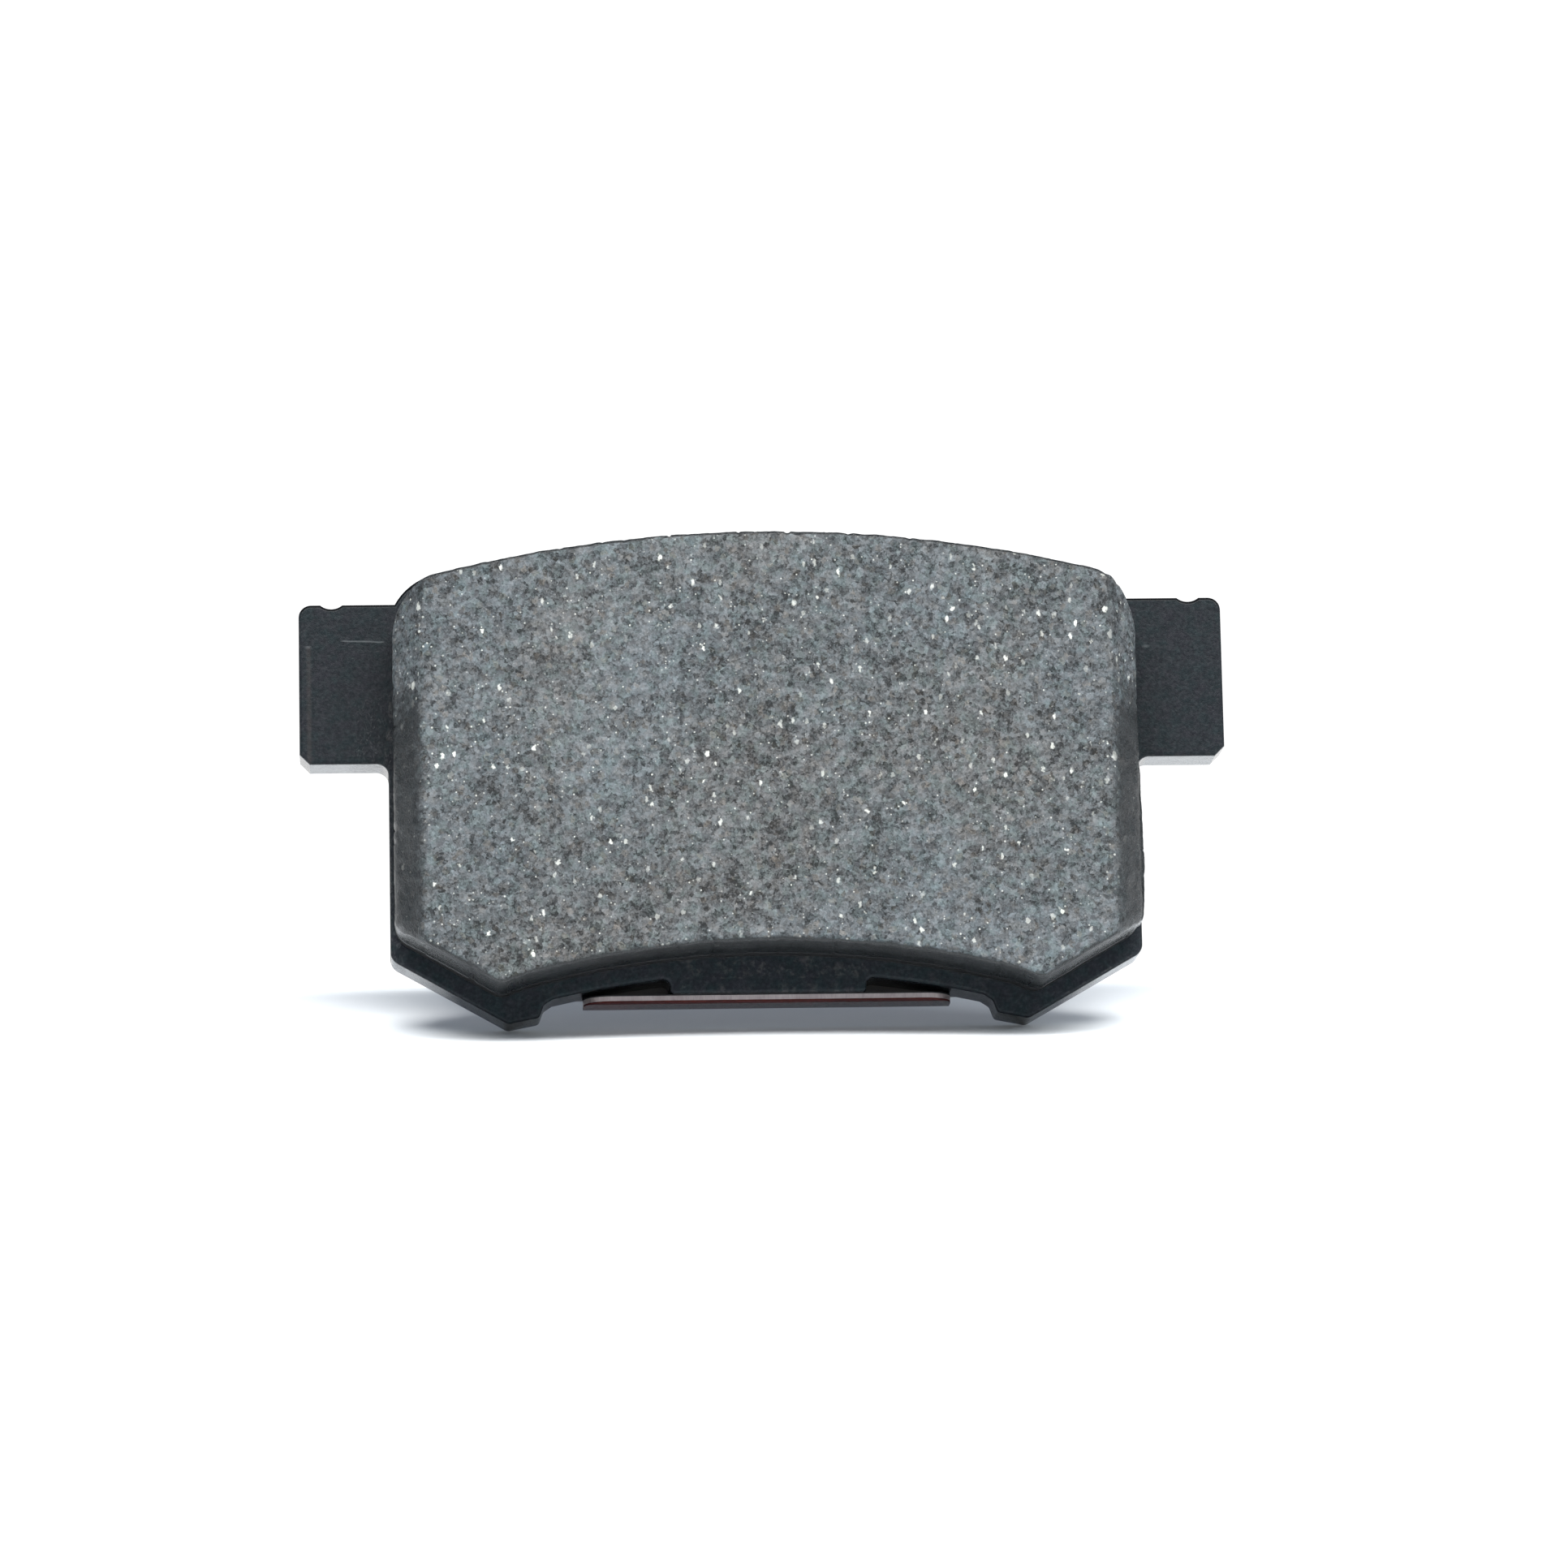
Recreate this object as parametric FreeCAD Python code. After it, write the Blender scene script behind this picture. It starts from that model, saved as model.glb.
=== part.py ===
import FreeCAD, Part
import math
import os

# Disc brake pad for a floating caliper, rear axle of a small car.
# Millimetres.  +X runs along the pad from ear to ear, +Z points away from the
# axle (radially outward), -Y is the side that faces the disc.
# Origin: bottom centre of the bounding box, on the plane the two feet stand on.

# ---- driving dimensions -------------------------------------------------
OVERALL_W = 89.0          # ear end to ear end
PLATE_T = 5.0             # steel backing plate
BOND_T = 0.15             # bonding adhesive film
UNDER_T = 1.5             # underlayer of friction mix
LINING_T = 7.85           # friction lining
SHIM_GLUE_T = 0.10        # adhesive film of the shim
SHIM_IN_T = 0.12          # inner rubber coat of the shim
SHIM_STEEL_T = 0.45       # steel core of the shim
SHIM_OUT_T = 0.18         # outer rubber coat of the shim

BODY_X = 36.0             # half width of the plate's body
EAR_Z0 = 25.3             # lower sliding face of the ears
EAR_Z1 = 40.9             # upper sliding face of the ears
EAR_X = OVERALL_W / 2.0
EAR_CHAM = 0.95           # chamfer at the ear's lower outer corner
EAR_R = 1.2               # radius at the ear's upper outer corner
EAR_ROOT_R = 1.2          # fillet where the ear's lower face meets the body
EAR_DIP_X = 41.35         # shallow dip in the ear's upper face
EAR_DIP_D = 0.38
EAR_DIP_HW = 1.05

TOP_Z = 47.7              # crown of the plate
TOP_R = 130.0             # radius of the crown
TOP_CORNER_R = 6.0

FOOT_IN_X = 21.9          # inner end of each foot
FOOT_IN_Z = 0.55
ARCH_R = 93.0             # radius of the relieved inner edge
ARCH_Z = 4.62             # height of that arc on the centre line
ARCH_X1 = 20.6            # where the arc starts beside the foot
LAND_HW = 9.4             # half width of the central land
LAND_Z = 2.68
LAND_ROOT_R = 0.7         # fillet between the land and the arc
DIAG_X0 = 24.9            # foot's corner before rounding
FOOT_Z = -0.043           # its height, so that the rounded foot reaches z = 0
DIAG_X1, DIAG_Z1 = 36.0, 6.25      # upper end of the slanted lower corner

KEY_HOLE_R = 4.5          # keying holes that the underlayer fills
KEY_HOLES = ((-16.0, 25.0), (16.0, 25.0))
KEY_GAP = 0.02

EDGE_FRONT = 0.35         # rolled edge on the punch-in side
EDGE_BACK = 0.15

LIN_X = 35.55             # half width of the lining
LIN_TOP_Z = 45.75
LIN_TOP_R = 130.0
LIN_TOP_CORNER_R = 5.6
LIN_BOT_Z = 6.25
LIN_BOT_R = 92.0
LIN_DIAG_P = (34.45, 7.45)         # two points on the slanted lower side
LIN_DIAG_Q = (26.75, 2.85)
LIN_FOOT_Z = 2.65                  # lowest point of the lining above the feet
LIN_CHAM_W = 2.6          # width of the side chamfers
LIN_CHAM_D = 3.7          # depth of the side chamfers

SHIM_X = 34.8
SHIM_TOP_Z = 46.6
SHIM_BOT_Z = 2.95
SHIM_CORNER_R = 5.2
FLANGE_HW = 17.6          # half width of the flange folded under the plate
FLANGE_BACK = 0.45        # how far its free edge stays behind the front face
FLANGE_R = 2.6            # radius of the flange's free corners
BEND_R = 0.25             # inside radius of the fold

# ---- planes along Y -----------------------------------------------------
DEPTH = (PLATE_T + BOND_T + UNDER_T + LINING_T + SHIM_GLUE_T + SHIM_IN_T
         + SHIM_STEEL_T + SHIM_OUT_T)
Y_FACE = -DEPTH / 2.0
Y_UNDER = Y_FACE + LINING_T
Y_BOND = Y_UNDER + UNDER_T
Y_PLATE = Y_BOND + BOND_T
Y_BACK = Y_PLATE + PLATE_T
Y_S1 = Y_BACK + SHIM_GLUE_T
Y_S2 = Y_S1 + SHIM_IN_T
Y_S3 = Y_S2 + SHIM_STEEL_T
Y_S4 = Y_S3 + SHIM_OUT_T

os.makedirs("parts", exist_ok=True)


def V(x, z, y=0.0):
    return FreeCAD.Vector(x, y, z)


def arc_z(z0, r, x):
    """Height at x of a circle of radius r whose crown is at z0 on x = 0."""
    return z0 - r + math.sqrt(r * r - x * x)


def corner(p0, p1, p2, r):
    """Tangent arc of radius r at p1 between the lines p0-p1 and p1-p2.
    Returns its start, middle and end."""
    a = (p0[0] - p1[0], p0[1] - p1[1])
    b = (p2[0] - p1[0], p2[1] - p1[1])
    la = math.hypot(*a)
    lb = math.hypot(*b)
    a = (a[0] / la, a[1] / la)
    b = (b[0] / lb, b[1] / lb)
    half = math.acos(max(-1.0, min(1.0, a[0] * b[0] + a[1] * b[1]))) / 2.0
    t = r / math.tan(half)
    d = r / math.sin(half)
    bis = (a[0] + b[0], a[1] + b[1])
    lbis = math.hypot(*bis)
    c = (p1[0] + bis[0] / lbis * d, p1[1] + bis[1] / lbis * d)
    mid = (p1[0] + bis[0] / lbis * (d - r), p1[1] + bis[1] / lbis * (d - r))
    s = (p1[0] + a[0] * t, p1[1] + a[1] * t)
    e = (p1[0] + b[0] * t, p1[1] + b[1] * t)
    return s, mid, e


def crown_corner(z0, r_top, x_side, r):
    """Arc of radius r tangent to the crown (inside) and to the side x = x_side.
    Returns the point on the side, the middle and the point on the crown."""
    zc_top = z0 - r_top
    cx = x_side - r
    cz = zc_top + math.sqrt((r_top - r) ** 2 - cx ** 2)
    k = math.atan2(cz - zc_top, cx)
    crown = (r_top * math.cos(k), zc_top + r_top * math.sin(k))
    side = (x_side, cz)
    m = k / 2.0
    mid = (cx + r * math.cos(m), cz + r * math.sin(m))
    return side, mid, crown, (cx, cz)


class Outline:
    """Right half of a mirror-symmetric outline, from the centre line at the
    bottom, round the right side, to the centre line at the top."""

    def __init__(self, start):
        self.p = start
        self.segs = []

    def line(self, q):
        if math.hypot(q[0] - self.p[0], q[1] - self.p[1]) > 1e-6:
            self.segs.append(("l", self.p, q))
        self.p = q
        return self

    def arc(self, m, q):
        self.segs.append(("a", self.p, m, q))
        self.p = q
        return self

    def rounded(self, p1, p2, r):
        """Line to a rounded corner at p1, whose next edge heads for p2."""
        s, m, e = corner(self.p, p1, p2, r)
        return self.line(s).arc(m, e)

    def face(self, y):
        edges = []
        for sg in self.segs:
            pts = [V(q[0], q[1], y) for q in sg[1:]]
            if sg[0] == "l":
                edges.append(Part.LineSegment(*pts).toShape())
            else:
                edges.append(Part.Arc(*pts).toShape())
        for sg in reversed(self.segs):
            pts = [V(-q[0], q[1], y) for q in reversed(sg[1:])]
            if sg[0] == "l":
                edges.append(Part.LineSegment(*pts).toShape())
            else:
                edges.append(Part.Arc(*pts).toShape())
        w = Part.Wire(Part.__sortEdges__(edges))
        return Part.Face(w)


def slab(outline, y0, y1):
    return outline.face(y0).extrude(FreeCAD.Vector(0, y1 - y0, 0))


def ycyl(x, z, r, y0, y1):
    return Part.makeCylinder(r, y1 - y0, FreeCAD.Vector(x, y0, z),
                             FreeCAD.Vector(0, 1, 0))


def one(shape):
    shape = shape.removeSplitter()
    if shape.ShapeType != "Solid":
        if len(shape.Solids) != 1:
            raise RuntimeError("expected one solid, got %d" % len(shape.Solids))
        shape = shape.Solids[0]
    if not shape.isValid():
        raise RuntimeError("invalid solid")
    return shape


def outer_edges(shape, y):
    """Edges of the outer outline that lie in the plane at y."""
    best = None
    for f in shape.Faces:
        bb = f.BoundBox
        if abs(bb.YMin - y) < 1e-5 and abs(bb.YMax - y) < 1e-5:
            if best is None or f.Area > best.Area:
                best = f
    return list(best.OuterWire.Edges)


# ---- backing plate ------------------------------------------------------
plate_side, plate_mid, plate_crown, plate_c = crown_corner(
    TOP_Z, TOP_R, BODY_X, TOP_CORNER_R)
# where the rounded upper corner of the body meets the ear's upper face
ear_in_x = plate_c[0] + math.sqrt(TOP_CORNER_R ** 2 - (EAR_Z1 - plate_c[1]) ** 2)
k0 = math.atan2(EAR_Z1 - plate_c[1], ear_in_x - plate_c[0])
k1 = math.atan2(plate_crown[1] - plate_c[1], plate_crown[0] - plate_c[0])
km = (k0 + k1) / 2.0
corner_mid = (plate_c[0] + TOP_CORNER_R * math.cos(km),
              plate_c[1] + TOP_CORNER_R * math.sin(km))

plate = Outline((0.0, LAND_Z))
plate.rounded((LAND_HW, LAND_Z), (LAND_HW, ARCH_Z), 0.45)
arch_c = ARCH_Z - ARCH_R
root_c = (LAND_HW + LAND_ROOT_R,
          arch_c + math.sqrt((ARCH_R - LAND_ROOT_R) ** 2
                             - (LAND_HW + LAND_ROOT_R) ** 2))
kr = math.atan2(root_c[1] - arch_c, root_c[0])
root_end = (ARCH_R * math.cos(kr), arch_c + ARCH_R * math.sin(kr))
ks = (math.pi + kr) / 2.0
plate.line((LAND_HW, root_c[1]))
plate.arc((root_c[0] + LAND_ROOT_R * math.cos(ks),
           root_c[1] + LAND_ROOT_R * math.sin(ks)), root_end)
xm = (root_end[0] + ARCH_X1) / 2.0
plate.arc((xm, arc_z(ARCH_Z, ARCH_R, xm)),
          (ARCH_X1, arc_z(ARCH_Z, ARCH_R, ARCH_X1)))
plate.rounded((21.45, 1.75), (FOOT_IN_X, FOOT_IN_Z), 0.6)
plate.rounded((FOOT_IN_X, FOOT_IN_Z), (DIAG_X0, FOOT_Z), 0.5)
plate.rounded((DIAG_X0, FOOT_Z), (DIAG_X1, DIAG_Z1), 0.8)
plate.rounded((DIAG_X1, DIAG_Z1), (BODY_X, EAR_Z0), 1.3)
plate.rounded((BODY_X, EAR_Z0), (EAR_X, EAR_Z0), EAR_ROOT_R)
plate.line((EAR_X - EAR_CHAM, EAR_Z0))
plate.line((EAR_X, EAR_Z0 + EAR_CHAM))
plate.rounded((EAR_X, EAR_Z1), (EAR_DIP_X + EAR_DIP_HW, EAR_Z1), EAR_R)
plate.line((EAR_DIP_X + EAR_DIP_HW, EAR_Z1))
plate.arc((EAR_DIP_X, EAR_Z1 - EAR_DIP_D), (EAR_DIP_X - EAR_DIP_HW, EAR_Z1))
plate.line((ear_in_x, EAR_Z1))
plate.arc(corner_mid, plate_crown)
plate.arc((0.0, TOP_Z), (-plate_crown[0], plate_crown[1]))
# the last arc spans the whole crown, so it is kept out of the mirrored half
crown_seg = plate.segs.pop()


def closed_face(outline, crown, y):
    """Face from a half outline, its mirror image and one full crown arc."""
    edges = []
    for sgn in (1, -1):
        for sg in outline.segs:
            pts = [V(sgn * q[0], q[1], y) for q in sg[1:]]
            edges.append(Part.LineSegment(*pts).toShape() if sg[0] == "l"
                         else Part.Arc(*pts).toShape())
    edges.append(Part.Arc(*[V(q[0], q[1], y) for q in crown[1:]]).toShape())
    return Part.Face(Part.Wire(Part.__sortEdges__(edges)))


backing_plate = closed_face(plate, crown_seg, Y_PLATE).extrude(
    FreeCAD.Vector(0, PLATE_T, 0))
backing_plate = one(backing_plate)
backing_plate = backing_plate.makeFillet(
    EDGE_FRONT, outer_edges(backing_plate, Y_PLATE))
backing_plate = backing_plate.makeChamfer(
    EDGE_BACK, outer_edges(backing_plate, Y_BACK))
for hx, hz in KEY_HOLES:
    backing_plate = backing_plate.cut(
        ycyl(hx, hz, KEY_HOLE_R, Y_PLATE - 1.0, Y_BACK + 1.0))
backing_plate = one(backing_plate)

# ---- lining outline -----------------------------------------------------
lin_side, lin_mid, lin_crown, lin_c = crown_corner(
    LIN_TOP_Z, LIN_TOP_R, LIN_X, LIN_TOP_CORNER_R)
slope = (LIN_DIAG_P[1] - LIN_DIAG_Q[1]) / (LIN_DIAG_P[0] - LIN_DIAG_Q[0])
diag_side = (LIN_X, LIN_DIAG_P[1] + slope * (LIN_X - LIN_DIAG_P[0]))
# the slanted side meets the lower arc at this corner
x_low = 25.9
z_low = LIN_DIAG_Q[1] + slope * (x_low - LIN_DIAG_Q[0])
x_arc = 23.3
lining_out = Outline((0.0, LIN_BOT_Z))
lining_out.arc((x_arc / 2.0, arc_z(LIN_BOT_Z, LIN_BOT_R, x_arc / 2.0)),
               (x_arc, arc_z(LIN_BOT_Z, LIN_BOT_R, x_arc)))
lining_out.rounded((x_low - 0.35, z_low), diag_side, 1.6)
lining_out.rounded(diag_side, (LIN_X, 30.0), 2.2)
lining_out.line(lin_side)
lining_out.arc(lin_mid, lin_crown)
lin_crown_seg = ("a", lin_crown, (0.0, LIN_TOP_Z), (-lin_crown[0], lin_crown[1]))
# the lower arc also spans the centre line as one arc
lining_out.segs.pop(0)
low_arc = ("a", (x_arc, arc_z(LIN_BOT_Z, LIN_BOT_R, x_arc)), (0.0, LIN_BOT_Z),
           (-x_arc, arc_z(LIN_BOT_Z, LIN_BOT_R, x_arc)))


def lining_face(y):
    edges = []
    for sgn in (1, -1):
        for sg in lining_out.segs:
            pts = [V(sgn * q[0], q[1], y) for q in sg[1:]]
            edges.append(Part.LineSegment(*pts).toShape() if sg[0] == "l"
                         else Part.Arc(*pts).toShape())
    for sg in (lin_crown_seg, low_arc):
        edges.append(Part.Arc(*[V(q[0], q[1], y) for q in sg[1:]]).toShape())
    return Part.Face(Part.Wire(Part.__sortEdges__(edges)))


# ---- friction lining ----------------------------------------------------
lining = lining_face(Y_FACE).extrude(FreeCAD.Vector(0, LINING_T, 0))
for sgn in (1, -1):
    # wedge that takes off the long chamfer on each side of the friction face
    a = V(sgn * (LIN_X - LIN_CHAM_W), -5.0, Y_FACE)
    b = V(sgn * LIN_X, -5.0, Y_FACE + LIN_CHAM_D)
    ux = sgn * LIN_CHAM_W
    uy = LIN_CHAM_D
    e1 = FreeCAD.Vector(a.x - ux, a.y - uy, a.z)
    e2 = FreeCAD.Vector(b.x + ux, b.y + uy, b.z)
    e3 = FreeCAD.Vector(e2.x + sgn * 6.0, e1.y - 3.0, a.z)
    tri = Part.Face(Part.makePolygon([e1, e2, e3, e1]))
    lining = lining.cut(tri.extrude(FreeCAD.Vector(0, 0, 60.0)))
friction_lining = one(lining)

# ---- underlayer with its two anchor plugs -------------------------------
underlayer = lining_face(Y_UNDER).extrude(FreeCAD.Vector(0, UNDER_T, 0))
for hx, hz in KEY_HOLES:
    underlayer = underlayer.fuse(
        ycyl(hx, hz, KEY_HOLE_R - KEY_GAP, Y_BOND - 0.5, Y_BACK))
underlayer = one(underlayer)

# ---- bonding adhesive film ----------------------------------------------
bond = lining_face(Y_BOND).extrude(FreeCAD.Vector(0, BOND_T, 0))
for hx, hz in KEY_HOLES:
    bond = bond.cut(ycyl(hx, hz, KEY_HOLE_R, Y_BOND - 1.0, Y_PLATE + 1.0))
bonding_adhesive_film = one(bond)

# ---- shim ---------------------------------------------------------------
sh_side, sh_mid, sh_crown, sh_c = crown_corner(
    SHIM_TOP_Z, TOP_R, SHIM_X, SHIM_CORNER_R)


def shim_face(y, inset):
    """Shim outline, drawn in by inset all round."""
    side, mid, crown, c = crown_corner(
        SHIM_TOP_Z - inset, TOP_R - inset, SHIM_X - inset, SHIM_CORNER_R - inset)
    zb = SHIM_BOT_Z + inset
    d0 = (26.2 - inset * 0.5, zb)
    d1 = (SHIM_X - inset, 8.0 + inset * 0.5)
    o = Outline((0.0, zb))
    o.rounded(d0, d1, 1.5)
    o.rounded(d1, (SHIM_X - inset, 30.0), 1.5)
    o.line(side)
    o.arc(mid, crown)
    first = o.segs.pop(0)
    edges = []
    for sgn in (1, -1):
        for sg in o.segs:
            pts = [V(sgn * q[0], q[1], y) for q in sg[1:]]
            edges.append(Part.LineSegment(*pts).toShape() if sg[0] == "l"
                         else Part.Arc(*pts).toShape())
    q = first[2]
    edges.append(Part.LineSegment(V(q[0], q[1], y), V(-q[0], q[1], y)).toShape())
    edges.append(Part.Arc(V(crown[0], crown[1], y), V(0.0, SHIM_TOP_Z - inset, y),
                          V(-crown[0], crown[1], y)).toShape())
    return Part.Face(Part.Wire(Part.__sortEdges__(edges)))


def flange_plan(z0, z1):
    """Block in the flange's plan shape, with both free corners rounded."""
    ya = Y_PLATE + FLANGE_BACK
    yb = Y_S4 + 2.0
    r = FLANGE_R
    w = FLANGE_HW
    c = r * math.sqrt(0.5)

    def P(x, y):
        return FreeCAD.Vector(x, y, z0)

    edges = [
        Part.LineSegment(P(-w + r, ya), P(w - r, ya)).toShape(),
        Part.Arc(P(w - r, ya), P(w - r + c, ya + r - c), P(w, ya + r)).toShape(),
        Part.LineSegment(P(w, ya + r), P(w, yb)).toShape(),
        Part.LineSegment(P(w, yb), P(-w, yb)).toShape(),
        Part.LineSegment(P(-w, yb), P(-w, ya + r)).toShape(),
        Part.Arc(P(-w, ya + r), P(-w + r - c, ya + r - c), P(-w + r, ya)).toShape(),
    ]
    return Part.Face(Part.Wire(Part.__sortEdges__(edges))).extrude(
        FreeCAD.Vector(0, 0, z1 - z0))


def shim_layer(d0, d1):
    """One layer of the shim, from depth d0 to d1 off its inner surface: the
    flat sheet, the fold, and the flange that hooks under the plate."""
    sheet = shim_face(Y_S1 + d0, 0.0).extrude(FreeCAD.Vector(0, d1 - d0, 0))
    yc = Y_S1 - BEND_R
    zc = LAND_Z + BEND_R
    ra, rb = BEND_R + d0, BEND_R + d1
    q = math.sqrt(0.5)
    x0 = -FLANGE_HW
    top = SHIM_BOT_Z + 1.0
    front = Y_PLATE + FLANGE_BACK

    def P(y, z):
        return FreeCAD.Vector(x0, y, z)

    edges = [
        Part.LineSegment(P(front, zc - ra), P(yc, zc - ra)).toShape(),
        Part.Arc(P(yc, zc - ra), P(yc + ra * q, zc - ra * q), P(yc + ra, zc)).toShape(),
        Part.LineSegment(P(yc + ra, zc), P(yc + ra, top)).toShape(),
        Part.LineSegment(P(yc + ra, top), P(yc + rb, top)).toShape(),
        Part.LineSegment(P(yc + rb, top), P(yc + rb, zc)).toShape(),
        Part.Arc(P(yc + rb, zc), P(yc + rb * q, zc - rb * q), P(yc, zc - rb)).toShape(),
        Part.LineSegment(P(yc, zc - rb), P(front, zc - rb)).toShape(),
        Part.LineSegment(P(front, zc - rb), P(front, zc - ra)).toShape(),
    ]
    hook = Part.Face(Part.Wire(Part.__sortEdges__(edges))).extrude(
        FreeCAD.Vector(2.0 * FLANGE_HW, 0, 0))
    hook = hook.common(flange_plan(0.0, top + 1.0))
    return one(sheet.fuse(hook))


shim_adhesive_film = one(shim_face(Y_BACK, 0.3).extrude(
    FreeCAD.Vector(0, SHIM_GLUE_T, 0)))
shim_inner_rubber = shim_layer(0.0, SHIM_IN_T)
shim_steel_core = shim_layer(SHIM_IN_T, SHIM_IN_T + SHIM_STEEL_T)
shim_outer_rubber = shim_layer(SHIM_IN_T + SHIM_STEEL_T,
                               SHIM_IN_T + SHIM_STEEL_T + SHIM_OUT_T)

NODES = {
    "backing_plate": backing_plate,
    "bonding_adhesive_film": bonding_adhesive_film,
    "underlayer_with_anchor_plugs": underlayer,
    "friction_lining": friction_lining,
    "shim_adhesive_film": shim_adhesive_film,
    "shim_inner_rubber": shim_inner_rubber,
    "shim_steel_core": shim_steel_core,
    "shim_outer_rubber": shim_outer_rubber,
}

for name, shape in NODES.items():
    shape.exportStep("parts/%s.step" % name)
    bb = shape.BoundBox
    print("%-30s vol %9.1f  x %.2f..%.2f  y %.3f..%.3f  z %.2f..%.2f" % (
        name, shape.Volume, bb.XMin, bb.XMax, bb.YMin, bb.YMax, bb.ZMin, bb.ZMax))

names = list(NODES)
for i in range(len(names)):
    for j in range(i + 1, len(names)):
        common = NODES[names[i]].common(NODES[names[j]])
        if common.Volume > 1e-4:
            print("overlap", names[i], names[j], round(common.Volume, 4))
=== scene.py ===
import math

import bpy
import numpy as np
from mathutils import Matrix, Vector


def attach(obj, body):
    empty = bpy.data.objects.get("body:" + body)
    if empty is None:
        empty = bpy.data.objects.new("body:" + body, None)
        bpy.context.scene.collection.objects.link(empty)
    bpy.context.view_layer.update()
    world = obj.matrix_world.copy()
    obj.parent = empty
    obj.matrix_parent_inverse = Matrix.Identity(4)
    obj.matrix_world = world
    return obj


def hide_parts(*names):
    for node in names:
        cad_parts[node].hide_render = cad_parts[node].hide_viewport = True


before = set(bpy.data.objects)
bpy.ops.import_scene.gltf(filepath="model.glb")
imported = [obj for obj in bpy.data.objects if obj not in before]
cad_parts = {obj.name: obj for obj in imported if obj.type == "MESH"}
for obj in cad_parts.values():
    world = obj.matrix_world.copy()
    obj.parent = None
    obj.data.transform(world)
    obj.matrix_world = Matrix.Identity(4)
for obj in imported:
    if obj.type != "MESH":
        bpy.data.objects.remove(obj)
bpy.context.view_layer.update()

MM = 0.001
rng = np.random.default_rng(20)

# ------------------------------------------------------------------ camera
scene = bpy.context.scene
scene.view_settings.view_transform = "Standard"
scene.view_settings.look = "None"
scene.view_settings.exposure = 0.0
scene.view_settings.gamma = 1.0

cam_data = bpy.data.cameras.new("camera")
cam = bpy.data.objects.new("camera", cam_data)
scene.collection.objects.link(cam)
cam_data.sensor_fit = "HORIZONTAL"
cam_data.sensor_width = 36.0
cam_data.lens = 168.874
cam_data.clip_start = 0.01
cam_data.clip_end = 20.0
cam_data.dof.use_dof = False
_fwd = Vector((0.05501, 0.98147, 0.18354)).normalized()
_up = Vector((0.01013, -0.18436, 0.98281))
_right = _fwd.cross(_up).normalized()
_up = _right.cross(_fwd).normalized()
_m = Matrix((_right, _up, -_fwd)).transposed().to_4x4()
_m.translation = Vector((-0.036957, -0.691195, -0.106672))
cam.matrix_world = _m
scene.camera = cam

# ------------------------------------------------------------------ node helpers


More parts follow.
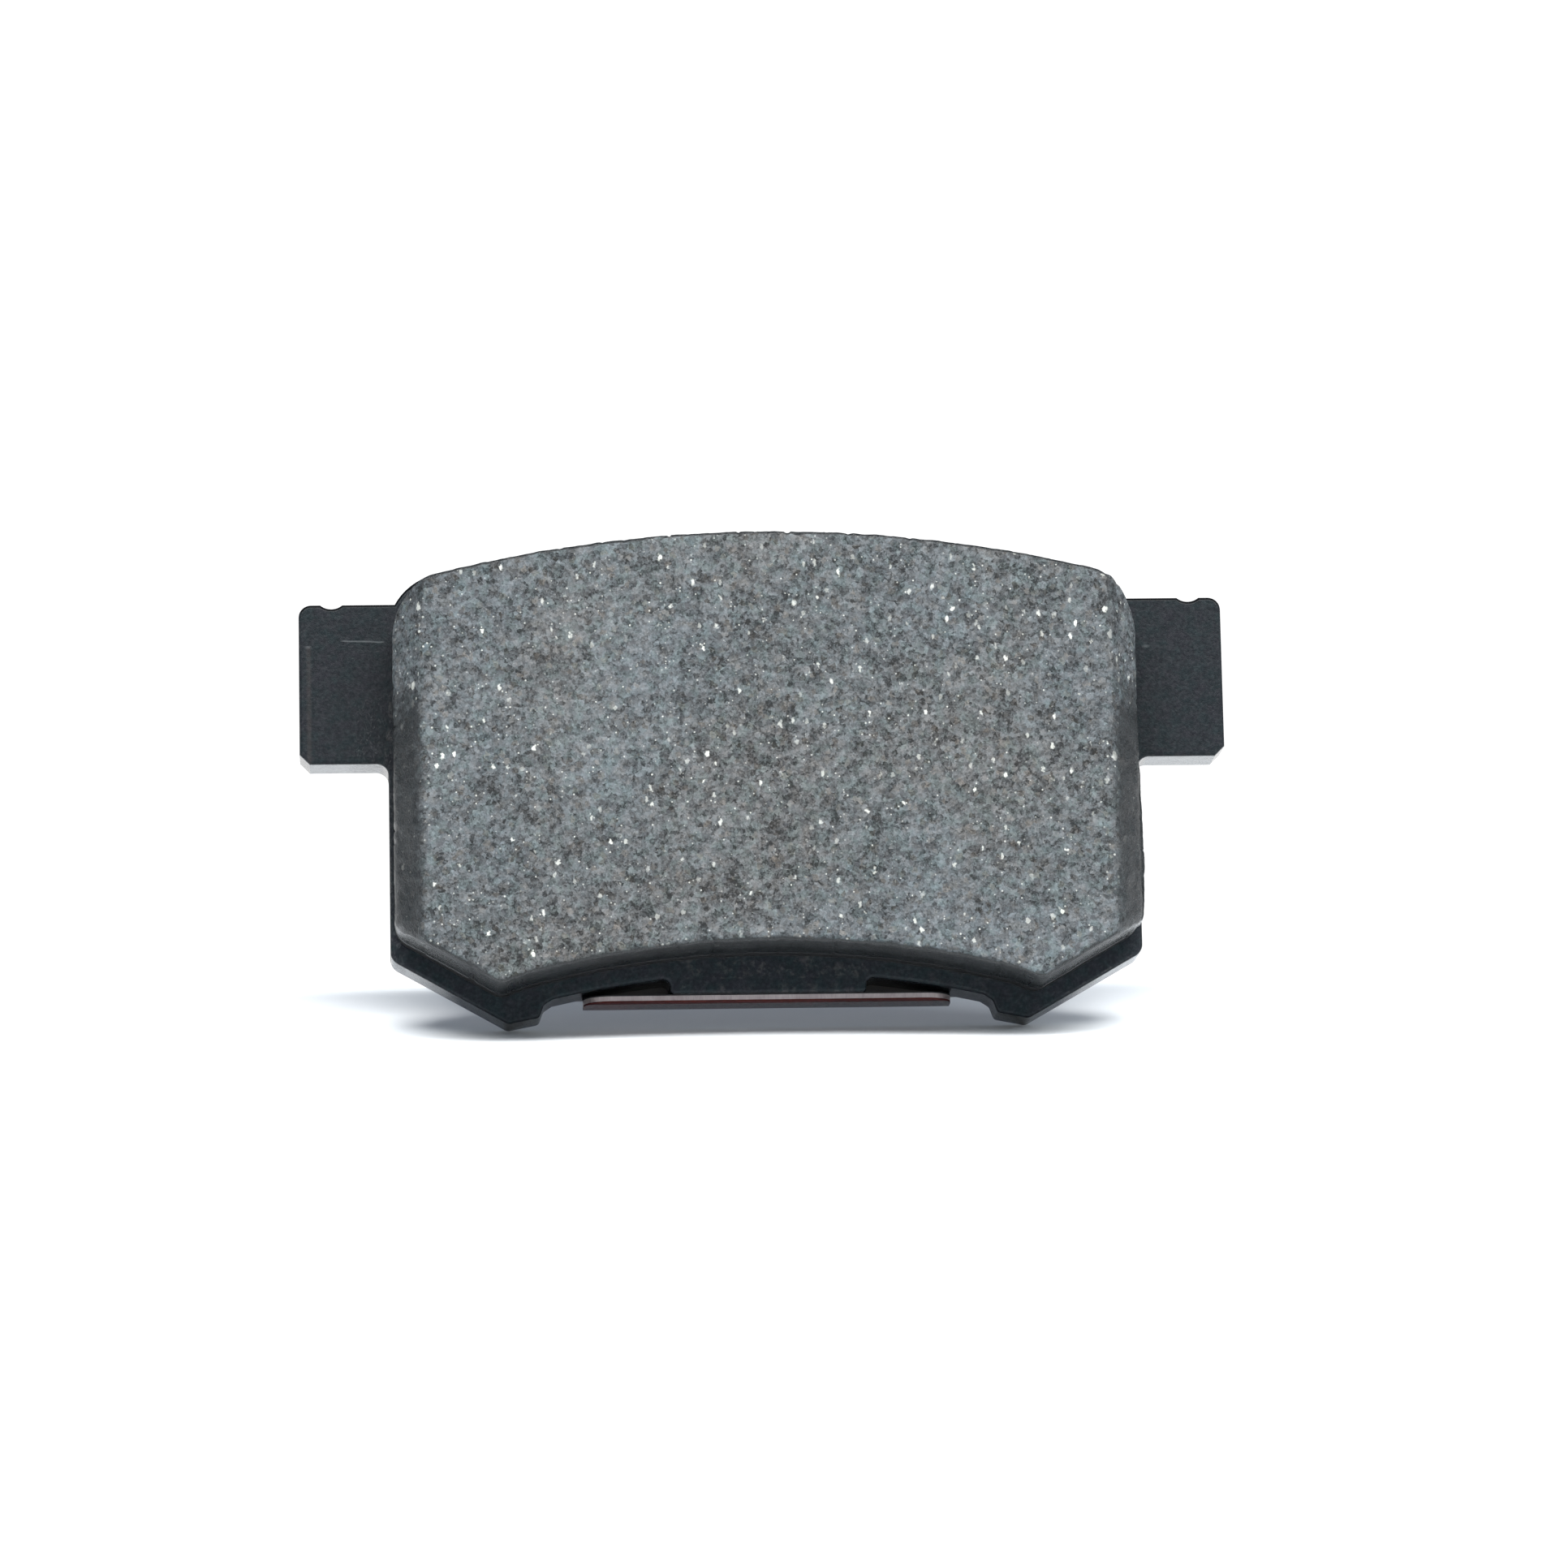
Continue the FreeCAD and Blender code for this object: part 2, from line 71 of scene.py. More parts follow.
class NT:
    """Small wrapper that makes node graphs short to write."""

    def __init__(self, tree):
        self.t = tree
        self.t.nodes.clear()

    def add(self, kind, **props):
        n = self.t.nodes.new(kind)
        for k, v in props.items():
            setattr(n, k, v)
        return n

    def link(self, a, b):
        self.t.links.new(a, b)

    def put(self, socket, v):
        if hasattr(v, "is_output"):
            self.link(v, socket)
        elif isinstance(v, (tuple, list)) and len(v) == 3 and socket.type == "RGBA":
            socket.default_value = (v[0], v[1], v[2], 1.0)
        else:
            socket.default_value = v

    def math(self, op, a, b=None, c=None, clamp=False):
        n = self.add("ShaderNodeMath", operation=op)
        n.use_clamp = clamp
        self.put(n.inputs[0], a)
        if b is not None:
            self.put(n.inputs[1], b)
        if c is not None:
            self.put(n.inputs[2], c)
        return n.outputs[0]

    def vmath(self, op, a, b=None):
        n = self.add("ShaderNodeVectorMath", operation=op)
        self.put(n.inputs[0], a)
        if b is not None:
            self.put(n.inputs[1], b)
        return n.outputs["Value"] if op in ("LENGTH", "DOT_PRODUCT") else n.outputs[0]

    def mapr(self, v, a, b, c=0.0, d=1.0, smooth=False):
        n = self.add("ShaderNodeMapRange")
        n.interpolation_type = "SMOOTHSTEP" if smooth else "LINEAR"
        n.clamp = True
        self.put(n.inputs[0], v)
        for i, x in enumerate((a, b, c, d)):
            self.put(n.inputs[i + 1], x)
        return n.outputs[0]

    def mix(self, f, a, b, mode="MIX"):
        n = self.add("ShaderNodeMix", data_type="RGBA", blend_type=mode)
        n.clamp_factor = True
        self.put(n.inputs[0], f)
        self.put(n.inputs[6], a)
        self.put(n.inputs[7], b)
        return n.outputs[2]

    def mixf(self, f, a, b):
        n = self.add("ShaderNodeMix", data_type="FLOAT")
        n.clamp_factor = True
        self.put(n.inputs[0], f)
        self.put(n.inputs[2], a)
        self.put(n.inputs[3], b)
        return n.outputs[0]

    def noise(self, vec, scale, detail=2.0, rough=0.5, dist=0.0, out=0):
        n = self.add("ShaderNodeTexNoise", noise_dimensions="3D")
        self.put(n.inputs["Vector"], vec)
        n.inputs["Scale"].default_value = scale
        n.inputs["Detail"].default_value = detail
        n.inputs["Roughness"].default_value = rough
        n.inputs["Distortion"].default_value = dist
        return n.outputs[out]

    def voro(self, vec, scale, feature="F1", rand=1.0, metric="EUCLIDEAN"):
        n = self.add("ShaderNodeTexVoronoi", voronoi_dimensions="3D", feature=feature)
        if feature != "DISTANCE_TO_EDGE":
            n.distance = metric
        self.put(n.inputs["Vector"], vec)
        n.inputs["Scale"].default_value = scale
        n.inputs["Randomness"].default_value = rand
        return n

    def ramp(self, v, stops, interp="LINEAR"):
        n = self.add("ShaderNodeValToRGB")
        n.color_ramp.interpolation = interp
        el = n.color_ramp.elements
        while len(el) < len(stops):
            el.new(0.5)
        for e, (p, c) in zip(el, stops):
            e.position = p
            e.color = (*c, 1.0) if len(c) == 3 else c
        self.put(n.inputs[0], v)
        return n.outputs[0]

    def sep(self, vec):
        n = self.add("ShaderNodeSeparateXYZ")
        self.put(n.inputs[0], vec)
        return n.outputs

    def coords(self, scale=1000.0, offset=(0.0, 0.0, 0.0)):
        tc = self.add("ShaderNodeTexCoord")
        mp = self.add("ShaderNodeMapping")
        mp.inputs["Scale"].default_value = (scale, scale, scale)
        mp.inputs["Location"].default_value = offset
        self.link(tc.outputs["Object"], mp.inputs["Vector"])
        return mp.outputs[0]

    def bump(self, h, dist, strength=1.0, normal=None):
        n = self.add("ShaderNodeBump")
        n.inputs["Strength"].default_value = strength
        n.inputs["Distance"].default_value = dist
        self.put(n.inputs["Height"], h)
        if normal is not None:
            self.link(normal, n.inputs["Normal"])
        return n.outputs[0]


def material(name):
    m = bpy.data.materials.new(name)
    m.use_nodes = True
    nt = NT(m.node_tree)
    out = nt.add("ShaderNodeOutputMaterial")
    p = nt.add("ShaderNodeBsdfPrincipled")
    nt.link(p.outputs[0], out.inputs[0])
    return m, nt, p


def g(v):
    """sRGB 0..255 to linear."""
    v = v / 255.0
    return v / 12.92 if v <= 0.04045 else ((v + 0.055) / 1.055) ** 2.4


def srgb(r, gg, b):
    return (g(r), g(gg), g(b))


# ------------------------------------------------------------------ friction mix
def friction_material():
    m, nt, p = material("friction_mix")
    P = nt.coords()                       # millimetres
    x, y, z = nt.sep(P)[0:3]
    ax = nt.math("ABSOLUTE", x)
    # slightly warped copy of the coordinates, so that no grain is round
    w = nt.noise(P, 2.6, 2.0, 0.6, out=1)
    warp = nt.vmath("SUBTRACT", w, (0.5, 0.5, 0.5))
    sc = nt.add("ShaderNodeVectorMath", operation="SCALE")
    nt.link(warp, sc.inputs[0])
    sc.inputs["Scale"].default_value = 0.55
    Q = nt.vmath("ADD", P, sc.outputs[0])

    # grains: three sizes of random cells and two of plain noise
    v1 = nt.voro(Q, 2.1)
    v2 = nt.voro(Q, 4.3)
    v3 = nt.voro(Q, 1.05)
    r1 = nt.sep(v1.outputs["Color"])[0]
    r2 = nt.sep(v2.outputs["Color"])[1]
    r3 = nt.sep(v3.outputs["Color"])[2]
    n1 = nt.noise(P, 5.5, 3.0, 0.7)
    n2 = nt.noise(P, 0.55, 2.0, 0.55)
    n3 = nt.noise(P, 0.11, 2.0, 0.5)
    h = nt.math("MULTIPLY", nt.math("SUBTRACT", r1, 0.5), 0.86)
    h = nt.math("ADD", h, nt.math("MULTIPLY", nt.math("SUBTRACT", r2, 0.5), 0.78))
    h = nt.math("ADD", h, nt.math("MULTIPLY", nt.math("SUBTRACT", r3, 0.5), 0.33))
    h = nt.math("ADD", h, nt.math("MULTIPLY", nt.math("SUBTRACT", n1, 0.5), 1.60))
    h = nt.math("ADD", h, nt.math("MULTIPLY", nt.math("SUBTRACT", n2, 0.5), 1.00))
    h = nt.math("ADD", h, nt.math("MULTIPLY", nt.math("SUBTRACT", n3, 0.5), 0.70))
    n4 = nt.noise(P, 0.045, 1.0, 0.5)
    h = nt.math("ADD", h, nt.math("MULTIPLY", nt.math("SUBTRACT", n4, 0.5), 0.45))
    tone = nt.math("MAXIMUM", nt.math("ADD", h, 1.0), 0.22)

    # faint colour casts of the different fibres and minerals
    cast = nt.ramp(nt.noise(P, 0.75, 3.0, 0.65, out=0), (
        (0.30, (1.02, 0.94, 0.88)), (0.44, (1.02, 0.98, 0.97)), (0.52, (1.0, 1.0, 1.0)),
        (0.60, (0.97, 1.02, 0.98)), (0.72, (0.93, 1.02, 1.03))))
    cell = nt.ramp(nt.sep(v1.outputs["Color"])[1], (
        (0.0, (0.98, 1.01, 1.03)), (0.55, (1.0, 1.0, 1.0)), (0.9, (1.01, 0.99, 0.98)),
        (0.965, (1.05, 0.95, 0.86))))
    base = nt.mix(1.0, (0.0508, 0.0568, 0.0600), cast, "MULTIPLY")
    base = nt.mix(0.8, base, cell, "MULTIPLY")
    drift = nt.ramp(nt.noise(P, 0.06, 2.0, 0.5), ((0.38, (1.035, 0.99, 0.965)), (0.5, (1.0, 1.0, 1.0)), (0.62, (0.985, 1.0, 1.02))))
    base = nt.mix(1.0, base, drift, "MULTIPLY")
    tn = nt.add("ShaderNodeCombineXYZ")
    for i in range(3):
        nt.link(tone, tn.inputs[i])
    base = nt.mix(1.0, base, tn.outputs[0], "MULTIPLY")

    # dark grains
    vd = nt.voro(Q, 1.35)
    rd = nt.sep(vd.outputs["Color"])
    dk = nt.math("GREATER_THAN", rd[0], 0.80)
    rr = nt.math("MULTIPLY_ADD", rd[1], 0.24, 0.13)
    dmask = nt.math("MULTIPLY", dk, nt.mapr(nt.math("SUBTRACT", vd.outputs["Distance"], rr), -0.05, 0.07, 1.0, 0.0))
    base = nt.mix(nt.math("MULTIPLY", dmask, 0.62), base, (0.040, 0.042, 0.046))

    # bright flecks of metal and mineral, a few of them long
    mp = nt.add("ShaderNodeMapping")
    mp.inputs["Rotation"].default_value = (0.0, 0.9, 0.0)
    mp.inputs["Scale"].default_value = (1.0, 1.0, 0.62)
    nt.link(Q, mp.inputs["Vector"])
    vf = nt.voro(mp.outputs[0], 1.22)
    rf = nt.sep(vf.outputs["Color"])
    fl = nt.math("GREATER_THAN", rf[0], 0.80)
    fr = nt.math("MULTIPLY_ADD", nt.math("POWER", rf[1], 2.2), 0.25, 0.12)
    fmask = nt.math("MULTIPLY", fl, nt.mapr(nt.math("SUBTRACT", vf.outputs["Distance"], fr), -0.07, 0.03, 1.0, 0.0))
    vg = nt.voro(P, 2.7)
    rg = nt.sep(vg.outputs["Color"])
    gl = nt.math("GREATER_THAN", rg[0], 0.89)
    gr = nt.math("MULTIPLY_ADD", rg[1], 0.24, 0.16)
    gmask = nt.math("MULTIPLY", gl, nt.mapr(nt.math("SUBTRACT", vg.outputs["Distance"], gr), -0.06, 0.03, 1.0, 0.0))
    flecks = nt.math("MAXIMUM", nt.math("MULTIPLY", fmask, nt.math("MULTIPLY_ADD", nt.math("POWER", rf[2], 1.8), 0.30, 0.11)),
                     nt.math("MULTIPLY", gmask, nt.math("MULTIPLY_ADD", rg[2], 0.24, 0.07)))

    # ends: the long chamfers were never ground; the lower two thirds carry
    # a film of the plate's dark paint
    edge_n = nt.noise(P, 0.5, 3.0, 0.6)
    wob = nt.math("MULTIPLY_ADD", nt.noise(P, 1.1, 4.0, 0.7), 2.6, -1.3)
    cham = nt.mapr(nt.math("ADD", ax, wob), 32.2, 33.7, 0.0, 1.0, True)
    low = nt.mapr(nt.math("ADD", z, nt.math("MULTIPLY_ADD", edge_n, 9.0, -4.5)), 27.5, 33.0, 1.0, 0.0, True)
    dust = nt.math("MULTIPLY", cham, nt.math("MULTIPLY_ADD", low, 0.84, 0.03))
    # walls behind the friction face are as moulded and carry the same film
    deep = nt.mapr(y, -3.9, -3.2, 0.0, 1.0, True)
    ny = nt.sep(nt.add("ShaderNodeNewGeometry").outputs["Normal"])[1]
    top_wall = nt.mapr(nt.math("ADD", ny, nt.math("MULTIPLY_ADD", edge_n, 0.5, -0.25)), -0.92, -0.62, 0.0, 1.0, True)
    # painted shade: the top of the face, where it starts to round over, is darkened with the film's dark colour
    top_edge_shade = nt.math("MULTIPLY", nt.mapr(ny, -0.985, -0.94, 0.0, 1.0), nt.mapr(z, 36.0, 39.0, 0.0, 1.0))
    top_wall = nt.math("MAXIMUM", top_wall, top_edge_shade)
    wall_film_and_top_shade = nt.math("MULTIPLY", top_wall, nt.math("SUBTRACT", 1.0, cham))
    # this mask holds the paint film on chamfers and walls and also the painted shade on the top edge
    film = nt.math("MAXIMUM", nt.math("MAXIMUM", dust, deep), nt.math("MULTIPLY", wall_film_and_top_shade, 0.94), clamp=True)
    film_and_shade_colour = nt.mix(nt.math("MULTIPLY", nt.mapr(n1, 0.3, 0.7), 1.0), (0.0022, 0.0028, 0.0034), (0.0095, 0.0112, 0.0125))
    fl_vis = nt.math("MULTIPLY", flecks, nt.math("SUBTRACT", 1.0, nt.math("MULTIPLY", film, 0.97)))
    # dark film colour, which here also paints shade on the top edge
    base = nt.mix(film, base, film_and_shade_colour)
    base = nt.mix(fl_vis, base, (0.78, 0.80, 0.74))

    nt.put(p.inputs["Base Color"], base)
    rough = nt.mapr(n1, 0.2, 0.8, 0.52, 0.72)
    rough = nt.mixf(fl_vis, rough, 0.34)
    nrm = nt.sep(nt.add("ShaderNodeNewGeometry").outputs["Normal"])
    slant = nt.math("MULTIPLY", nt.mapr(nt.math("ABSOLUTE", nrm[0]), 0.28, 0.45, 0.0, 1.0, True),
                    nt.mapr(nrm[2], -0.30, -0.60, 0.0, 1.0, True))
    slant = nt.math("MULTIPLY", slant, nt.mapr(nt.math("ADD", y, nt.math("MULTIPLY_ADD", edge_n, 2.4, -1.2)), -6.4, -4.8, 0.0, 1.0, True))
    rough = nt.mixf(film, rough, nt.mixf(slant, nt.mapr(edge_n, 0.3, 0.7, 0.26, 0.42), 0.17))
    nt.put(p.inputs["Roughness"], rough)
    nt.put(p.inputs["Specular IOR Level"], nt.mixf(film, 0.08, nt.mixf(slant, 0.22, 0.70)))
    met = nt.math("MULTIPLY", fl_vis, 0.35)
    nt.put(p.inputs["Metallic"], met)
    # relief: grains stand a few hundredths of a millimetre proud
    hh = nt.math("ADD", nt.math("MULTIPLY", n1, 0.9), nt.math("MULTIPLY", r1, 0.35))
    hh = nt.math("SUBTRACT", hh, nt.math("MULTIPLY", dmask, 0.7))
    hh = nt.math("ADD", hh, nt.math("MULTIPLY", v2.outputs["Distance"], 0.8))
    nt.put(p.inputs["Normal"], nt.bump(hh, 0.00007, 0.75))
    return m


# ------------------------------------------------------------------ plate paint
def paint_material():
    m, nt, p = material("plate_paint")
    P = nt.coords()
    x, y, z = nt.sep(P)[0:3]
    n1 = nt.noise(P, 3.1, 3.0, 0.65)
    n2 = nt.noise(P, 0.7, 2.0, 0.6)
    n3 = nt.noise(P, 9.0, 2.0, 0.6)
    c = nt.ramp(n1, ((0.30, (0.0050, 0.0064, 0.0078)), (0.52, (0.0074, 0.0094, 0.0112)),
                     (0.70, (0.0112, 0.0136, 0.0156))))
    tint = nt.ramp(nt.noise(P, 0.9, 2.0, 0.6), ((0.36, (0.86, 1.02, 1.0)), (0.5, (1.0, 1.0, 1.0)), (0.66, (1.10, 0.98, 1.03))))
    c = nt.mix(1.0, c, tint, "MULTIPLY")
    # chalky dust that clings beside the lining
    dust = nt.math("MULTIPLY", nt.mapr(nt.noise(P, 1.7, 4.0, 0.75), 0.56, 0.74), nt.mapr(nt.math("ABSOLUTE", x), 35.0, 38.5, 1.0, 0.0, True))
    dust = nt.math("MULTIPLY", dust, nt.mapr(z, 20.0, 24.0))
    c = nt.mix(nt.math("MULTIPLY", dust, 0.14), c, (0.08, 0.083, 0.085))
    # one long scratch and one short nick on the left ear, a nick on the right one
    wx = nt.math("MULTIPLY_ADD", nt.noise(P, 0.55, 1.0, 0.5), 0.9, -0.45)

    def scratch(x0, x1, zc, slope, half):
        d = nt.math("SUBTRACT", nt.math("SUBTRACT", z, zc), nt.math("MULTIPLY", nt.math("SUBTRACT", x, x0), slope))
        d = nt.math("ABSOLUTE", nt.math("ADD", d, nt.math("MULTIPLY", wx, 0.4)))
        line = nt.mapr(d, half * 0.5, half, 1.0, 0.0)
        span = nt.math("MULTIPLY", nt.mapr(x, x0, x0 + 0.35), nt.mapr(x, x1 - 0.35, x1, 1.0, 0.0))
        return nt.math("MULTIPLY", line, span)

    s1 = scratch(-40.5, -36.2, 37.35, -0.03, 0.10)
    s2 = scratch(-44.0, -43.2, 36.7, 0.1, 0.14)
    s3 = scratch(36.7, 37.6, 36.2, -0.05, 0.16)
    sc = nt.math("MAXIMUM", nt.math("MAXIMUM", s1, nt.math("MULTIPLY", s2, 0.7)), nt.math("MULTIPLY", s3, 0.7))
    front = nt.mapr(y, 2.0, 2.4, 1.0, 0.0)
    sc = nt.math("MULTIPLY", sc, front)
    c = nt.mix(nt.math("MULTIPLY", sc, 0.26), c, (0.10, 0.11, 0.115))
    # paint thinned on the sharp corners
    geo = nt.add("ShaderNodeNewGeometry")
    pt = nt.mapr(geo.outputs["Pointiness"], 0.53, 0.60)
    wear = nt.math("MULTIPLY", pt, nt.mapr(nt.noise(P, 1.3, 3.0, 0.7), 0.52, 0.66))
    c = nt.mix(nt.math("MULTIPLY", wear, 0.16), c, (0.08, 0.075, 0.07))
    # runs and wrinkles where the paint gathered beside the lining
    mp = nt.add("ShaderNodeMapping")
    mp.inputs["Scale"].default_value = (1.0, 1.0, 0.42)
    nt.link(P, mp.inputs["Vector"])
    rn = nt.noise(mp.outputs[0], 1.5, 3.0, 0.6, 0.8)
    ridge = nt.mapr(nt.math("ABSOLUTE", nt.math("SUBTRACT", rn, 0.5)), 0.0, 0.045, 1.0, 0.0)
    runm = nt.math("MULTIPLY", nt.mapr(x, -40.5, -37.0, 0.0, 1.0, True), nt.mapr(x, -35.0, -34.5, 1.0, 0.0))
    runm = nt.math("MULTIPLY", runm, nt.mapr(z, 33.0, 29.5, 0.0, 1.0, True))
    runs = nt.math("MULTIPLY", ridge, runm)
    c = nt.mix(nt.math("MULTIPLY", runs, 0.16), c, (0.075, 0.078, 0.082))
    band = nt.math("MULTIPLY", nt.mapr(nt.math("ABSOLUTE", nt.math("ADD", x, 43.55)), 0.10, 0.32, 1.0, 0.0), nt.mapr(z, 36.6, 36.9, 1.0, 0.0))
    c = nt.mix(nt.math("MULTIPLY", band, 0.10), c, (0.07, 0.055, 0.05))
    # front and back faces lighter towards the bottom: 1.75 times at 3 mm and below, fading out by 14 mm
    low_lift = nt.add("ShaderNodeCombineXYZ")
    for i in range(3):
        nt.link(nt.mapr(z, 3.0, 14.0, 1.75, 1.0, True), low_lift.inputs[i])
    c = nt.mix(nt.mapr(nt.math("ABSOLUTE", nt.sep(geo.outputs["Normal"])[1]), 0.5, 0.9), c, nt.mix(1.0, c, low_lift.outputs[0], "MULTIPLY"))
    # painted shade: front faces that turn upward, the tops of the edges, are painted almost black
    painted_top_shade = nt.mapr(nt.sep(geo.outputs["Normal"])[2], 0.12, 0.35, 0.0, 1.0, True)
    painted_top_shade = nt.math("MULTIPLY", painted_top_shade, nt.mapr(y, 2.14, 2.30, 1.0, 0.0))
    c = nt.mix(nt.math("MULTIPLY", painted_top_shade, 0.85), c, (0.0008, 0.0008, 0.0010))
    nt.put(p.inputs["Base Color"], c)
    rough = nt.mapr(n1, 0.25, 0.75, 0.30, 0.44)
    rough = nt.mixf(sc, rough, 0.5)
    side = nt.mapr(nt.math("ABSOLUTE", nt.sep(geo.outputs["Normal"])[1]), 0.15, 0.7, 1.0, 0.0, True)
    side = nt.math("MULTIPLY", side, nt.mapr(nt.sep(geo.outputs["Normal"])[2], -0.15, -0.45, 0.0, 1.0, True))
    rough = nt.mixf(side, rough, nt.mapr(n2, 0.3, 0.7, 0.10, 0.20))
    nt.put(p.inputs["Roughness"], rough)
    nz = nt.sep(geo.outputs["Normal"])[2]
    upward = nt.math("MULTIPLY", nt.mapr(nz, 0.12, 0.35, 0.0, 1.0, True), nt.mapr(y, 2.14, 2.30, 1.0, 0.0))
    lowz = nt.mapr(z, 2.0, 8.0, 0.0, 1.0, True)
    nt.put(p.inputs["Specular IOR Level"], nt.mixf(upward, nt.mixf(side, 0.07, nt.mixf(lowz, 0.10, 0.50)), 0.03))
    p.inputs["IOR"].default_value = 1.5
    nt.put(p.inputs["Coat Weight"], nt.math("MULTIPLY", nt.math("MULTIPLY", nt.math("MULTIPLY", side, lowz), 0.35), nt.math("SUBTRACT", 1.0, upward)))
    p.inputs["Coat Roughness"].default_value = 0.12
    h = nt.math("ADD", nt.math("MULTIPLY", n1, 1.0), nt.math("MULTIPLY", n3, 0.28))
    h = nt.math("ADD", h, nt.math("MULTIPLY", n2, 0.8))
    h = nt.math("SUBTRACT", h, nt.math("MULTIPLY", sc, 0.5))
    h = nt.math("ADD", h, nt.math("MULTIPLY", runs, 1.4))
    nt.put(p.inputs["Normal"], nt.bump(h, 0.00006, 0.55))
    return m


def underlayer_material():
    m, nt, p = material("underlayer_mix")
    P = nt.coords()
    v = nt.voro(P, 3.4)
    r = nt.sep(v.outputs["Color"])[0]
    n = nt.noise(P, 4.0, 3.0, 0.7)
    t = nt.math("ADD", nt.math("MULTIPLY", r, 0.35), nt.math("MULTIPLY", n, 0.65))
    c = nt.ramp(t, ((0.25, (0.003, 0.0035, 0.004)), (0.6, (0.008, 0.009, 0.010)), (0.85, (0.02, 0.02, 0.02))))
    nt.put(p.inputs["Base Color"], c)
    nt.put(p.inputs["Roughness"], nt.mapr(n, 0.3, 0.7, 0.5, 0.75))
    p.inputs["Specular IOR Level"].default_value = 0.2
    nt.put(p.inputs["Normal"], nt.bump(nt.math("ADD", n, r), 0.00006, 0.8))
    return m


def adhesive_material():
    m, nt, p = material("adhesive_film")
    P = nt.coords()
    n = nt.noise(P, 2.2, 3.0, 0.6)
    c = nt.ramp(n, ((0.3, (0.006, 0.005, 0.004)), (0.6, (0.016, 0.012, 0.010)), (0.8, (0.035, 0.026, 0.020))))
    nt.put(p.inputs["Base Color"], c)
    nt.put(p.inputs["Roughness"], nt.mapr(n, 0.3, 0.7, 0.28, 0.5))
    nt.put(p.inputs["Normal"], nt.bump(n, 0.00004, 0.6))
    return m


def shim_steel_material():
    m, nt, p = material("shim_steel")
    P = nt.coords()
    mp = nt.add("ShaderNodeMapping")
    mp.inputs["Scale"].default_value = (9.0, 1.0, 1.0)
    nt.link(P, mp.inputs["Vector"])
    n = nt.noise(mp.outputs[0], 1.1, 3.0, 0.7)
    n2 = nt.noise(P, 0.5, 2.0, 0.6)
    t = nt.math("ADD", nt.math("MULTIPLY", n, 0.55), nt.math("MULTIPLY", n2, 0.45))
    c = nt.ramp(t, ((0.3, (0.24, 0.205, 0.205)), (0.55, (0.38, 0.335, 0.335)), (0.75, (0.50, 0.45, 0.45))))
    nt.put(p.inputs["Base Color"], c)
    nt.put(p.inputs["Metallic"], 0.75)
    nt.put(p.inputs["Roughness"], nt.mapr(n, 0.3, 0.7, 0.36, 0.55))
    nt.put(p.inputs["Normal"], nt.bump(n, 0.00003, 0.5))
    return m


def shim_rubber_material(name, dark, mid, lite):
    m, nt, p = material(name)
    P = nt.coords()
    n = nt.noise(P, 1.6, 4.0, 0.65)
    n2 = nt.noise(P, 14.0, 2.0, 0.6)
    smear = nt.add("ShaderNodeMapping")
    smear.inputs["Scale"].default_value = (0.22, 0.3, 0.16)
    nt.link(P, smear.inputs["Vector"])
    n3 = nt.noise(smear.outputs[0], 1.0, 3.0, 0.6)
    t = nt.math("ADD", nt.math("MULTIPLY", n, 0.5), nt.math("MULTIPLY", n3, 0.5))
    c = nt.ramp(t, ((0.32, dark), (0.52, mid), (0.72, lite)))
    geo = nt.add("ShaderNodeNewGeometry")
    # underside of the flange: painted shade, darker than the rubber in the middle, with a painted lit patch in the
    # lighter colour towards the left end
    under = nt.mapr(nt.sep(geo.outputs["Normal"])[2], -0.5, -0.85, 0.0, 1.0, True)
    under = nt.math("MULTIPLY", under, nt.mapr(nt.sep(P)[1], 2.9, 3.7, 0.0, 1.0, True))
    xx = nt.sep(P)[0]
    left = nt.math("MULTIPLY", nt.mapr(xx, -9.0, -14.5, 0.0, 1.0, True), under)
    c = nt.mix(nt.math("MULTIPLY", under, 0.75), c, nt.mix(left, tuple(0.30 * v for v in mid), lite))
    nt.put(p.inputs["Base Color"], c)
    nt.put(p.inputs["Roughness"], nt.mixf(under, nt.mapr(n, 0.3, 0.7, 0.55, 0.72), nt.mapr(n, 0.3, 0.7, 0.16, 0.30)))
    nt.put(p.inputs["Specular IOR Level"], nt.mixf(under, 0.15, 0.60))
    h = nt.math("ADD", nt.math("MULTIPLY", n2, 0.5), n)
    nt.put(p.inputs["Normal"], nt.bump(h, 0.00004, 0.5))
    return m


MAT = {
    "friction": friction_material(),
    "paint": paint_material(),
    "under": underlayer_material(),
    "glue": adhesive_material(),
    "steel": shim_steel_material(),
    "rub_in": shim_rubber_material("shim_rubber_inner", (0.008, 0.008, 0.009), (0.015, 0.015, 0.016), (0.028, 0.028, 0.03)),
    "rub_out": shim_rubber_material("shim_rubber_outer", (0.022, 0.004, 0.004), (0.040, 0.0075, 0.007), (0.065, 0.013, 0.011)),
}


def give(node, mat):
    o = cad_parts[node]
    o.data.materials.clear()
    o.data.materials.append(mat)


give("backing_plate", MAT["paint"])
give("friction_lining", MAT["friction"])
give("underlayer_with_anchor_plugs", MAT["under"])
give("bonding_adhesive_film", MAT["glue"])
give("shim_adhesive_film", MAT["glue"])
give("shim_steel_core", MAT["steel"])
give("shim_inner_rubber", MAT["rub_in"])
give("shim_outer_rubber", MAT["rub_out"])


# ------------------------------------------------------------------ friction lining
Y_FACE, Y_LIN_BACK = -7.675, 0.175
LIN_X = 35.55


